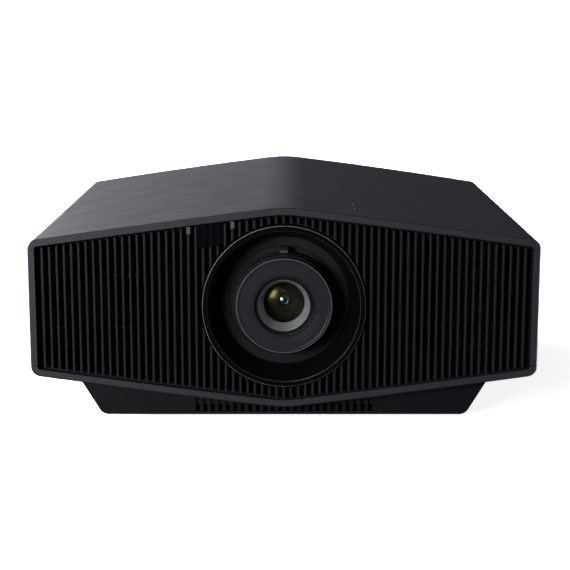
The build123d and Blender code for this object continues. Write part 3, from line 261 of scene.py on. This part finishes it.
def cast(name, base, roughness):
    """Pitted, slightly dull cast metal."""
    made = Shader(name, base, roughness, 0.9)
    made.vary_colour(0.006, 0.14)
    made.vary_roughness(0.004, 0.08)
    made.raise_by(made.noise(0.0011, 5.0, 0.7), 0.00004)
    return made.finish(0.0005)


def rubber(name, base):
    """Matt rubber with a coarse grain."""
    made = Shader(name, base, 0.75, specular=0.3)
    made.vary_colour(0.006, 0.15)
    made.vary_roughness(0.003, 0.08)
    made.raise_by(made.noise(0.0005, 4.0, 0.6), 0.00002)
    return made.finish(0.0004)


def circuit_board(name):
    """Green solder mask with copper tracks and pads beneath it."""
    made = Shader(name, (0.012, 0.07, 0.03), 0.35)
    brick = made.node("ShaderNodeTexBrick")
    brick.inputs["Scale"].default_value = 90.0
    made.link(made.place, brick.inputs["Vector"])
    tracks = made.ramp(brick.outputs["Fac"], 0.2, 0.5)
    colour = made.mix(tracks, (0.010, 0.055, 0.025), (0.03, 0.14, 0.05))
    pads = made.ramp(made.cells(0.006), 0.10, 0.14, 1.0, 0.0)
    colour = made.mix(pads, colour, (0.45, 0.42, 0.35))
    made.paint(colour)
    made.raise_by(tracks, 0.00002)
    return made.finish(0.0001)


def coated_glass(name, tint):
    """Clear glass with a weak yellow-green reflection."""
    made = Shader(name, tint, 0.2)
    made.shader.inputs["Transmission Weight"].default_value = 1.0
    made.shader.inputs["IOR"].default_value = 1.3
    made.shader.inputs["Specular Tint"].default_value = (0.95, 1.0, 0.30, 1.0)
    made.vary_roughness(0.01, 0.03)
    return made.finish(0.0)


def distance_from_axis(made):
    """Distance from the lens axis, in metres."""
    place = made.split()
    across = made.math("POWER", place["X"], 2.0)
    rise = made.math("SUBTRACT", place["Z"], LENS_Z)
    return made.math("SQRT", made.math("ADD", across, made.math("POWER", rise, 2.0)))


def band(made, radius, limits):
    """One between two distances from the axis, zero elsewhere."""
    low, high = limits
    soft = 0.0002
    return made.math("MULTIPLY", made.ramp(radius, low - soft, low), made.ramp(radius, high + soft, high))


def turn_marks(made, radius, height):
    """Fine rings left by a lathe."""
    made.raise_by(made.math("SINE", made.math("MULTIPLY", radius, TURNING_WAVE)), height)


def lens_face(name):
    """Satin black face with a dished middle in painted shade, and a rolled rim with two thin painted
    highlight lines round its edges.
    """
    made = Shader(name, (0.014, 0.015, 0.018), 0.34)
    radius = distance_from_axis(made)
    grey = made.mix(made.patches(0.02), (0.0142, 0.0155, 0.0196), (0.0172, 0.0185, 0.0228))
    # painted shade: the dish's inner slope is near black
    colour = made.mix(made.ramp(radius, *DISH_EDGE), (0.002, 0.002, 0.0024), grey)
    colour = made.mix(made.ramp(radius, *RIM_START), colour, (0.0035, 0.0036, 0.004))
    # painted highlights: two thin light lines round the rolled rim's edges
    edges = made.math("MAXIMUM", band(made, radius, RIM_INNER_HIGHLIGHT), band(made, radius, RIM_OUTER_HIGHLIGHT))
    made.paint(made.mix(edges, colour, (0.16, 0.165, 0.17)))
    made.link(made.patches(0.004, 5.0, 0.6, 0.32, 0.38), made.shader.inputs["Roughness"])
    turn_marks(made, radius, 0.0000004)
    return made.finish(0.0003)


def lens_surround(name):
    """Gloss black ring with a thin painted highlight line round its outer edge, a fainter one round its
    inner edge, and a duller funnel.
    """
    made = Shader(name, (0.0025, 0.0025, 0.003), 0.18, specular=0.4)
    radius = distance_from_axis(made)
    flecks = made.mix(made.patches(0.03), (0.002, 0.002, 0.0024), (0.003, 0.003, 0.0036))
    # painted highlights: thin light lines round the ring's outer edge and, fainter, its inner edge, broken
    # up by noise
    outer = band(made, radius, RING_OUTER_HIGHLIGHT)
    inner = band(made, radius, RING_INNER_HIGHLIGHT)
    highlight_breakup = made.ramp(made.noise(0.018, 3.0, 0.6), 0.25, 0.75, 0.6, 1.0)
    painted_highlight = made.math("MULTIPLY", made.math("MAXIMUM", outer, made.math("MULTIPLY", inner, 0.25)), highlight_breakup)
    made.paint(made.mix(painted_highlight, flecks, (0.24, 0.245, 0.25)))
    made.link(made.ramp(radius, *FUNNEL_EDGE, 0.4, 0.17), made.shader.inputs["Roughness"])
    made.raise_by(made.noise(0.0012, 3.0, 0.5), 0.0000004)
    return made.finish(0.0003)


def baffle(name):
    """Turned satin cone inside a dark front lip."""
    made = Shader(name, (0.44, 0.44, 0.45), 0.38, 0.5)
    radius = distance_from_axis(made)
    satin = made.mix(made.patches(0.006), (0.40, 0.40, 0.41), (0.48, 0.48, 0.49))
    made.paint(made.mix(made.ramp(radius, *BAFFLE_LIP), satin, (0.006, 0.006, 0.0065)))
    made.vary_roughness(0.006, 0.04)
    turn_marks(made, radius, 0.0000012)
    return made.finish(0.0002)


def coated_dome(name, colour, metal, roughness):
    """Dark inner glass whose coating colours what it reflects."""
    made = Shader(name, colour, roughness, metal)
    made.paint(made.mix(made.patches(0.004), shade(colour, 0.8), colour))
    made.vary_roughness(0.004, 0.02)
    return made.finish(0.0)


def across_fins(made, wave):
    """A wave that repeats with the fins."""
    turn = made.math("MULTIPLY", made.split()["X"], 2 * math.pi / FIN_PITCH)
    return made.math(wave, turn)


def grille(name, base, painted_shade_colour, roughness):
    """Moulded fins and their backing, with a painted highlight along one edge of each fin tip and painted
    shade that turns everything behind the bezel's front near black.
    """
    made = Shader(name, base, roughness, specular=0.3)
    start, end = FIN_SHADE
    # painted shade: the colour fades to near black deeper than the bezel's front; the same ramp also
    # roughens those parts
    share = made.ramp(made.split()["Y"], BEZEL_Y + start, BEZEL_Y + end)
    # painted highlight: one side of each fin tip lighter and the other darker, broken up by noise
    painted_edge_highlight = made.ramp(across_fins(made, "SINE"), 0.05, -0.3)
    painted_edge_highlight = made.math("MULTIPLY", painted_edge_highlight, made.patches(0.03, 4.0, 0.6, 0.86, 1.0))
    front = made.mix(painted_edge_highlight, shade(base, 0.42), shade(base, 1.5))
    made.paint(made.mix(share, front, painted_shade_colour))
    rough = made.patches(0.012, 5.0, 0.6, roughness - 0.04, roughness + 0.04)
    made.link(made.math("ADD", rough, made.math("MULTIPLY", share, 0.4)), made.shader.inputs["Roughness"])
    made.raise_by(made.noise(0.0006, 3.0, 0.6), 0.000004)
    return made.finish(0.00045)


def window(name, base):
    """Smoky window with the fins showing faintly through it."""
    made = Shader(name, base, 0.1, specular=0.35)
    fins = made.ramp(across_fins(made, "COSINE"), 0.3, 0.9)
    made.paint(made.mix(fins, base, shade(base, 2.2)))
    made.vary_roughness(0.01, 0.02)
    return made.finish(0.0003)


def threaded(name, base, roughness, pitch):
    """Steel with an upright screw thread."""
    made = Shader(name, base, roughness, 1.0)
    made.vary_colour(0.004, 0.10)
    made.vary_roughness(0.002, 0.06)
    wave = made.node("ShaderNodeTexWave", wave_type="BANDS", bands_direction="Z", wave_profile="TRI")
    wave.inputs["Scale"].default_value = 2 * math.pi / (WAVE_STEP * pitch)
    wave.inputs["Distortion"].default_value = 0.0
    made.link(made.place, wave.inputs["Vector"])
    made.raise_by(wave.outputs["Fac"], pitch * 0.4)
    return made.finish(0.0)


def foam(name):
    """Open-celled filter foam."""
    made = Shader(name, (0.0016, 0.0016, 0.0018), 0.95, specular=0.04)
    made.vary_colour(0.004, 0.3)
    made.raise_by(made.cells(0.0018), 0.0009)
    return made.finish(0.0)


def make_materials():
    """A material for each of the record's slots, and three for added pieces."""
    # the fins' colour, and a near black used as painted shade behind the bezel
    grille_front, grille_painted_shade = (0.0185, 0.0195, 0.0210), (0.0004, 0.0004, 0.0005)
    fine = 0.000002
    return {
        "shell_paint": textured_paint("shell_paint", (0.0283, 0.0302, 0.0378), 0.42),
        "rear_plastic": moulded("rear_plastic", (0.022, 0.022, 0.024), 0.5),
        "base_plastic": moulded("base_plastic", (0.0027, 0.0030, 0.0047), 0.55, specular=0.22),
        "grille_plastic": grille("grille_plastic", grille_front, grille_painted_shade, 0.34),
        "screen_metal": moulded("screen_metal", (0.030, 0.030, 0.032), 0.45),
        "ring_plastic": lens_surround("ring_plastic"),
        "smoky_window": window("smoky_window", (0.0022, 0.0025, 0.0034)),
        "light_guide": moulded("light_guide", (0.11, 0.11, 0.11), 0.4, specular=0.3),
        "steel": machined("steel", (0.50, 0.51, 0.53), 0.38, (1, 0.08, 1)),
        "cast_alloy": cast("cast_alloy", (0.30, 0.30, 0.31), 0.45),
        "alloy": machined("alloy", (0.62, 0.63, 0.65), 0.32, (1, 0.1, 1)),
        "rod_steel": machined("rod_steel", (0.65, 0.66, 0.68), 0.15, (1, 1, 1)),
        "dial_plastic": moulded("dial_plastic", (0.03, 0.03, 0.033), 0.4),
        "lens_black": moulded("lens_black", (0.005, 0.005, 0.0055), 0.45, fine, 0.0002, 0.3),
        "lens_face": lens_face("lens_face"),
        "baffle_satin": baffle("baffle_satin"),
        "lens_glass": coated_glass("lens_glass", (0.92, 0.90, 0.84)),
        "shield_plastic": moulded("shield_plastic", (0.0028, 0.0034, 0.0052), 0.55, fine, specular=0.28),
        "panel_ceramic": moulded("panel_ceramic", (0.30, 0.30, 0.32), 0.5),
        "phosphor": moulded("phosphor", (0.75, 0.68, 0.12), 0.4),
        "motor_black": moulded("motor_black", (0.02, 0.02, 0.022), 0.35),
        "fan_plastic": moulded("fan_plastic", (0.0014, 0.0014, 0.0016), 0.6, specular=0.1),
        "circuit_board": circuit_board("circuit_board"),
        "terminal_metal": textured_paint("terminal_metal", (0.018, 0.018, 0.019), 0.5),
        "port_metal": machined("port_metal", (0.55, 0.56, 0.58), 0.28, (1, 0.1, 1)),
        "port_plastic": moulded("port_plastic", (0.012, 0.012, 0.012), 0.45),
        "foot_rubber": rubber("foot_rubber", (0.012, 0.012, 0.012)),
        "stud_steel": threaded("stud_steel", (0.45, 0.45, 0.47), 0.3, 0.00125),
        "screw_black": machined("screw_black", (0.03, 0.03, 0.03), 0.4, (1, 1, 1)),
        "button_plastic": moulded("button_plastic", (0.03, 0.03, 0.033), 0.42),
        "filter_foam": foam("filter_foam"),
        "warm_coating": coated_dome("warm_coating", (0.060, 0.048, 0.036), 0.85, 0.40),
        "cool_coating": coated_dome("cool_coating", (0.22, 0.50, 0.40), 1.0, 0.12),
    }


def dress_nodes(materials):
    """Every CAD node takes the detailed material of its slot."""
    for entry in frame["record"]["subparts"]:
        node = NODES[entry["node"]]
        node.data.materials.clear()
        node.data.materials.append(materials[entry["material_slot"]])


# ---------------------------------------------------------------------------
# Pieces on top of the CAD
# ---------------------------------------------------------------------------

class Piece:
    """Collects flat and solid shapes for one object, in millimetres from an origin of its choice."""

    def __init__(self, name, origin, right):
        self.name = name
        self.origin = Vector(origin)
        self.right = Vector(right)
        self.up = Vector((0, 0, 1))
        self.out = self.right.cross(self.up)
        self.mesh = bmesh.new()

    def place(self, u, v, w):
        return self.origin + (self.right * u + self.up * v + self.out * w) * MM

    def slab(self, outline, low, high):
        """A prism over an outline of (u, v) points, from one height to another."""
        bottom = [self.mesh.verts.new(self.place(u, v, low)) for u, v in outline]
        top = [self.mesh.verts.new(self.place(u, v, high)) for u, v in outline]
        self.mesh.faces.new(top)
        self.mesh.faces.new(list(reversed(bottom)))
        count = len(outline)
        for n in range(count):
            after = (n + 1) % count
            self.mesh.faces.new((bottom[n], bottom[after], top[after], top[n]))

    def plate(self, u0, u1, v0, v1, low, high):
        """An upright rectangular slab."""
        self.slab([(u0, v0), (u1, v0), (u1, v1), (u0, v1)], low, high)

    def bar(self, start, end, width, low, high):
        """A straight stroke."""
        a, b = Vector(start), Vector(end)
        along = (b - a).normalized()
        side = Vector((-along.y, along.x)) * (width / 2)
        self.slab([tuple(a - side), tuple(b - side), tuple(b + side), tuple(a + side)], low, high)

    def arc(self, centre, radius, from_angle, to_angle, width, low, high, steps=20):
        """A curved stroke, drawn as short straight ones that share their ends."""
        span = math.radians(to_angle - from_angle)
        inner, outer = radius - width / 2, radius + width / 2
        rings = []
        for n in range(steps + 1):
            angle = math.radians(from_angle) + span * n / steps
            cos, sin = math.cos(angle), math.sin(angle)
            corners = ((inner, low), (outer, low), (outer, high), (inner, high))
            rings.append([
                self.mesh.verts.new(self.place(centre[0] + r * cos, centre[1] + r * sin, w))
                for r, w in corners])
        for one, two in zip(rings, rings[1:]):
            for n in range(4):
                after = (n + 1) % 4
                self.mesh.faces.new((one[n], one[after], two[after], two[n]))
        if abs(to_angle - from_angle) < 360:
            self.mesh.faces.new(list(reversed(rings[0])))
            self.mesh.faces.new(rings[-1])

    def circle(self, radius, height, count):
        """New points round the origin at one height."""
        points = []
        for n in range(count):
            u = radius * math.cos(2 * math.pi * n / count)
            v = radius * math.sin(2 * math.pi * n / count)
            points.append(self.mesh.verts.new(self.place(u, v, height)))
        return points

    def cap(self, ball, radius, centre, around, rows):
        """A closed dome, cut from a ball whose middle is centre behind the origin."""
        rings = []
        top = math.asin(radius / ball)
        for row in range(1, rows + 1):
            angle = top * row / rows
            rings.append(self.circle(ball * math.sin(angle), ball * math.cos(angle) - centre, around))
        apex = self.mesh.verts.new(self.place(0, 0, ball - centre))
        for n in range(around):
            after = (n + 1) % around
            self.mesh.faces.new((apex, rings[0][n], rings[0][after]))
            for one, two in zip(rings, rings[1:]):
                self.mesh.faces.new((one[n], two[n], two[after], one[after]))
        self.mesh.faces.new(list(reversed(rings[-1])))
        for face in self.mesh.faces:
            face.smooth = len(face.verts) < 5

    def done(self, material, body):
        """Makes the object, on its body and with its slot."""
        bmesh.ops.remove_doubles(self.mesh, verts=self.mesh.verts, dist=1e-7)
        bmesh.ops.recalc_face_normals(self.mesh, faces=self.mesh.faces)
        data = bpy.data.meshes.new(self.name)
        self.mesh.to_mesh(data)
        self.mesh.free()
        data.materials.append(material)
        made = bpy.data.objects.new(self.name, data)
        bpy.context.scene.collection.objects.link(made)
        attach(made, body)


def lens_marks(materials):
    """Plain ticks and two arcs round the lower right of the lens face."""
    face = LENS_Y + 0.4 * MM
    low, high = SKIN, SKIN + MARK
    count, first, step = 19, -16, 3.3              # ticks; degrees
    start, short_end, long_end = 31.0, 33.0, 34.4
    marks = Piece("lens_ticks", (0, face, LENS_Z), (1, 0, 0))
    for n in range(count):
        angle = math.radians(first - step * n)
        reach = long_end if n % 3 == 0 else short_end
        cos, sin = math.cos(angle), math.sin(angle)
        marks.bar((start * cos, start * sin), (reach * cos, reach * sin), 0.36, low, high)
    marks.arc((0, 0), 29.8, -78, -14, 0.24, low, high, 28)
    marks.arc((0, 0), 35.6, -66, -26, 0.24, low, high, 22)
    marks.done(materials["light_guide"], "lens")


def lever_painted_highlight(materials):
    """Pale strip on the zoom lever's front, a painted highlight."""
    low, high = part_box("zoom_ring")
    strip = Piece("lever_painted_highlight", (0, low.y + 0.8 * MM, high.z), (1, 0, 0))
    strip.slab([(-3.2, -4.6), (3.2, -4.6), (3.4, -3.2), (-3.4, -3.2)], SKIN, 0.25)
    strip.done(materials["light_guide"], "zoom_ring")


def inner_glasses(materials):
    """Two coated inner glasses and their retaining rings, seen through the front glass."""
    # Name, radius, bulge, depth of the edge, coating
    domes = (
        ("warm_glass", 18.2, 5.2, 33.4, "warm_coating"),
        ("cool_glass", 5.6, 2.9, 29.2, "cool_coating"),
    )
    # Radius, width, depth of the front
    retaining_rings = ((6.0, 0.5, 28.4), (9.6, 0.3, 28.7), (13.2, 0.35, 29.9), (18.4, 0.9, 31.0))
    thickness = 0.8
    for name, radius, bulge, edge, coating in domes:
        ball = (radius * radius + bulge * bulge) / (2 * bulge)
        dome = Piece(name, (0, LENS_Y, LENS_Z), (1, 0, 0))
        dome.cap(ball, radius, edge + ball - bulge, 64, 14)
        dome.done(materials[coating], "lens")
    rims = Piece("inner_rims", (0, LENS_Y, LENS_Z), (1, 0, 0))
    for radius, width, depth in retaining_rings:
        rims.arc((0, 0), radius, 0, 360, width, -depth - thickness, -depth, 72)
    rims.done(materials["lens_black"], "lens")


def rear_seals(materials):
    """Ribbed dark strips that close the seam between the rear panel and the casing's sides."""
    from_middle, from_bezel = 219, 449.4
    bottom, top = 52, 164
    for side, name in ((-1, "left_seal"), (1, "right_seal")):
        seal = Piece(name, (side * from_middle * MM, BEZEL_Y + from_bezel * MM, 0), (-1, 0, 0))
        seal.plate(-7, 7, bottom, top, -1.0, 1.0)
        seal.plate(-3, 3, bottom + 1, top - 1, 1.0, 1.6)
        seal.done(materials["foot_rubber"], "casing")


def key_marks(materials):
    """Generic pictures on the eight keys."""
    low, high = SKIN, SKIN + MARK

    def power(mark):
        mark.arc((0, 0), 2.0, -235, 55, 0.4, low, high)
        mark.bar((0, 0.5), (0, 2.6), 0.4, low, high)

    def source(mark):
        mark.arc((0.3, 0), 1.6, -130, 130, 0.35, low, high)
        mark.bar((-2.4, 0), (0.6, 0), 0.35, low, high)
        mark.slab([(0.4, -0.7), (1.3, 0), (0.4, 0.7)], low, high)

    def menu(mark):
        for height in (-1.2, 0.0, 1.2):
            mark.bar((-1.7, height), (1.7, height), 0.4, low, high)

    def enter(mark):
        mark.arc((0, 0), 1.5, 0, 359, 0.4, low, high, 32)

    def arrow(turn):
        def draw(mark):
            angle = math.radians(turn)
            cos, sin = math.cos(angle), math.sin(angle)
            corners = ((1.5, 0.0), (-0.9, 1.4), (-0.9, -1.4))
            mark.slab([(cos * u - sin * v, sin * u + cos * v) for u, v in corners], low, high)
        return draw

    pictures = {
        "power_button": power, "input_button": source, "menu_button": menu, "enter_button": enter,
        "up_button": arrow(90), "down_button": arrow(-90),
        "left_button": arrow(180), "right_button": arrow(0),
    }
    for name, draw in pictures.items():
        box_low, box_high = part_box(name)
        middle = (box_low + box_high) / 2
        mark = Piece(name.replace("button", "mark"), (box_high.x, middle.y, middle.z), (0, 1, 0))
        draw(mark)
        mark.done(materials["light_guide"], name)


def socket_pins(materials):
    """Nine pins of the serial socket and eight springs of the network socket."""
    serial_x, network_x, row_z = 66.0, 26.0, 98.0
    pin_radius, pin_pitch, row_rise = 0.5, 2.8, 1.5
    spring_width, spring_pitch = 0.4, 1.02
    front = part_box("port_inserts")[1].y
    pins = Piece("socket_pins", (0, front, 0), (-1, 0, 0))
    for count, height in ((5, row_rise), (4, -row_rise)):
        for n in range(count):
            x = serial_x + (n - (count - 1) / 2) * pin_pitch
            outline = []
            for corner in range(8):
                angle = math.pi * corner / 4
                outline.append((
                    -x + pin_radius * math.cos(angle), row_z + height + pin_radius * math.sin(angle)))
            pins.slab(outline, -5.0, -1.6)
    for n in range(8):
        x = network_x + (n - 3.5) * spring_pitch
        pins.bar((-x, row_z + 3.4), (-x, row_z + 1.2), spring_width, -13.0, -9.6)
    pins.done(materials["port_metal"], "casing")


def intake_filters(materials):
    """Sheets of ribbed dark foam inside the rear panel's slots."""
    depth = 26                                     # in front of the rear panel's outermost face
    rib, thickness, rise = 6, 2.0, 0.6
    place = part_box("rear_panel")[1].y - depth * MM
    # Name, from x, to x, from z, to z
    banks = (
        ("left_filter", -206, -146, 64, 158),
        ("right_filter", 146, 206, 64, 158),
        ("upper_filter", -126, 126, 137, 166),
    )
    for name, x0, x1, z0, z1 in banks:
        sheet = Piece(name, (0, place, 0), (-1, 0, 0))
        for n in range((x1 - x0) // rib):
            a, b = x0 + n * rib, x0 + (n + 1) * rib
            sheet.plate(-b, -a, z0, z1, -thickness, rise if n % 2 else 0.0)
        sheet.done(materials["filter_foam"], "casing")


# ---------------------------------------------------------------------------
# Stage, light and camera
# ---------------------------------------------------------------------------

def make_stage():
    """Pale floor that curves up all round, seen by the camera only, so the lights alone shape the object."""
    flat, bend, top = 3.4, 1.4, 6.0                # flat part, radius of the curve, height of the wall
    steps, around = 14, 96
    outline = [(0.6, 0.0), (flat, 0.0)]
    for n in range(1, steps + 1):
        angle = math.pi / 2 * n / steps
        outline.append((flat + bend * math.sin(angle), bend * (1 - math.cos(angle))))
    outline.append((flat + bend, top))
    mesh = bpy.data.meshes.new("floor")
    points = [(0.0, 0.0, 0.0)]
    for radius, height in outline:
        for n in range(around):
            angle = 2 * math.pi * n / around
            points.append((radius * math.cos(angle), radius * math.sin(angle), height))
    faces = [(0, 1 + n, 1 + (n + 1) % around) for n in range(around)]
    for row in range(len(outline) - 1):
        low = 1 + row * around
        for n in range(around):
            after = (n + 1) % around
            faces.append((low + n, low + around + n, low + around + after, low + after))
    mesh.from_pydata(points, [], faces)
    mesh.polygons.foreach_set("use_smooth", [True] * len(mesh.polygons))
    floor = bpy.data.objects.new("floor", mesh)
    bpy.context.scene.collection.objects.link(floor)
    made = Shader("floor_paper", FLOOR_COLOUR, 0.9, specular=0.0)
    made.shader.inputs["Emission Color"].default_value = (1.0, 1.0, 1.0, 1.0)
    made.shader.inputs["Emission Strength"].default_value = FLOOR_GLOW
    made.vary_colour(0.3, 0.005)
    mesh.materials.append(made.finish(0.0))
    floor.visible_diffuse = False
    floor.visible_glossy = False
    floor.visible_transmission = False
    floor.visible_shadow = False


def area_light(name, place, size, power, colour):
    """A rectangular light that points at the object."""
    data = bpy.data.lights.new(name, "AREA")
    data.shape = "RECTANGLE"
    data.size, data.size_y = size
    data.energy = power
    data.color = colour
    light = bpy.data.objects.new(name, data)
    bpy.context.scene.collection.objects.link(light)
    light.location = place
    direction = Vector(LIGHT_AIM) - Vector(place)
    light.rotation_euler = direction.to_track_quat("-Z", "Y").to_euler()


def make_light():
    """Soft key from the left and behind, which leaves the right half of the roof dark, and weak fills."""
    scene = bpy.context.scene
    scene.view_settings.view_transform = "Standard"
    world = bpy.data.worlds.new("studio")
    scene.world = world
    world.use_nodes = True
    background = world.node_tree.nodes["Background"]
    background.inputs["Color"].default_value = (*WORLD_COLOUR, 1)
    background.inputs["Strength"].default_value = WORLD_STRENGTH
    for light in LIGHTS:
        area_light(*light)


def make_camera():
    """Nearly head-on, from a little above."""
    data = bpy.data.cameras.new("camera")
    data.sensor_width = SENSOR_WIDTH
    data.lens = FOCAL_LENGTH
    camera = bpy.data.objects.new("camera", data)
    bpy.context.scene.collection.objects.link(camera)
    camera.location = (CAMERA_X, BEZEL_Y - CAMERA_DISTANCE, CAMERA_HEIGHT)
    camera.rotation_euler = (math.pi / 2 - CAMERA_PITCH, 0, 0)
    bpy.context.scene.camera = camera


make_camera()
MATERIALS = make_materials()
dress_nodes(MATERIALS)
lens_marks(MATERIALS)
lever_painted_highlight(MATERIALS)
inner_glasses(MATERIALS)
key_marks(MATERIALS)
socket_pins(MATERIALS)
intake_filters(MATERIALS)
rear_seals(MATERIALS)
make_stage()
make_light()
